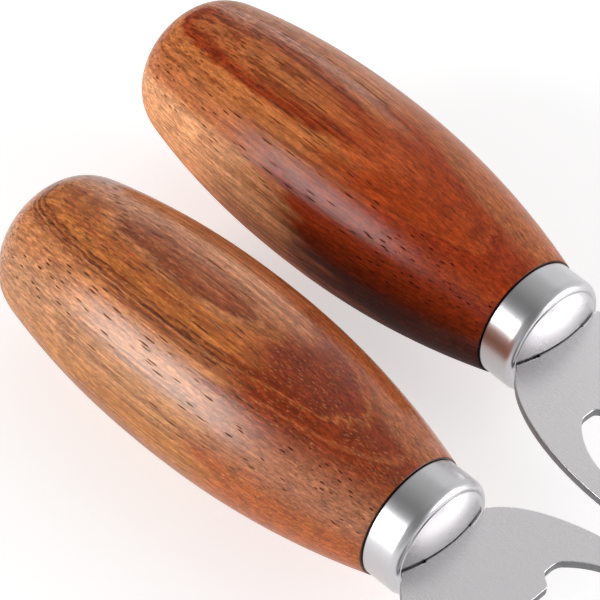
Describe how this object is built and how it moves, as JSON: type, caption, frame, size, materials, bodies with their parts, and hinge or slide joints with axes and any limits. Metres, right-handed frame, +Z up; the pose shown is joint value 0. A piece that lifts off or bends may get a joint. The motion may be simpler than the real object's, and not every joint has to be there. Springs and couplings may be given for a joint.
{
  "type": "nutcracker",
  "caption": "Lever nutcracker: two turned wooden grips with steel ferrules on flat steel arms with looped openings, toothed jaws and a pivot screw at the far end.",
  "frame": {"origin": "on the pivot axis, at the flat tip of the cap nut that the closed tool lies on", "axes": "+X from the handles towards the pivot, +Y from the left arm to the right arm, +Z up out of the flat arms"},
  "size_m": [0.218, 0.0806, 0.0374],
  "materials": {
    "golden_wood": "satin varnish",
    "red_wood": "satin varnish",
    "polished_steel": "polished",
    "satin_steel": "fine satin",
    "cast_steel": "tumbled",
    "rivet_steel": "polished",
    "screw_steel": "polished",
    "washer_steel": "satin",
    "bronze": "satin"
  },
  "bodies": {
    "left_arm": {"left_grip": "golden_wood", "left_ferrule": "polished_steel", "left_arm_plate": "satin_steel", "left_jaw": "cast_steel", "left_jaw_rivet_rear": "rivet_steel", "left_jaw_rivet_front": "rivet_steel", "pivot_screw": "screw_steel", "head_washer": "washer_steel", "pivot_bearing_washer": "bronze", "nut_washer": "washer_steel", "cap_nut": "screw_steel"},
    "right_arm": {"right_grip": "red_wood", "right_ferrule": "polished_steel", "right_arm_plate": "satin_steel", "right_jaw": "cast_steel", "right_jaw_rivet_rear": "rivet_steel", "right_jaw_rivet_front": "rivet_steel"}
  },
  "joints": [
    {"name": "pivot", "type": "hinge", "parent": "left_arm", "child": "right_arm", "pos_m": [0, 0, 0.0198], "axis": [0, 0, -1], "range_deg": [0, 55]}
  ]
}
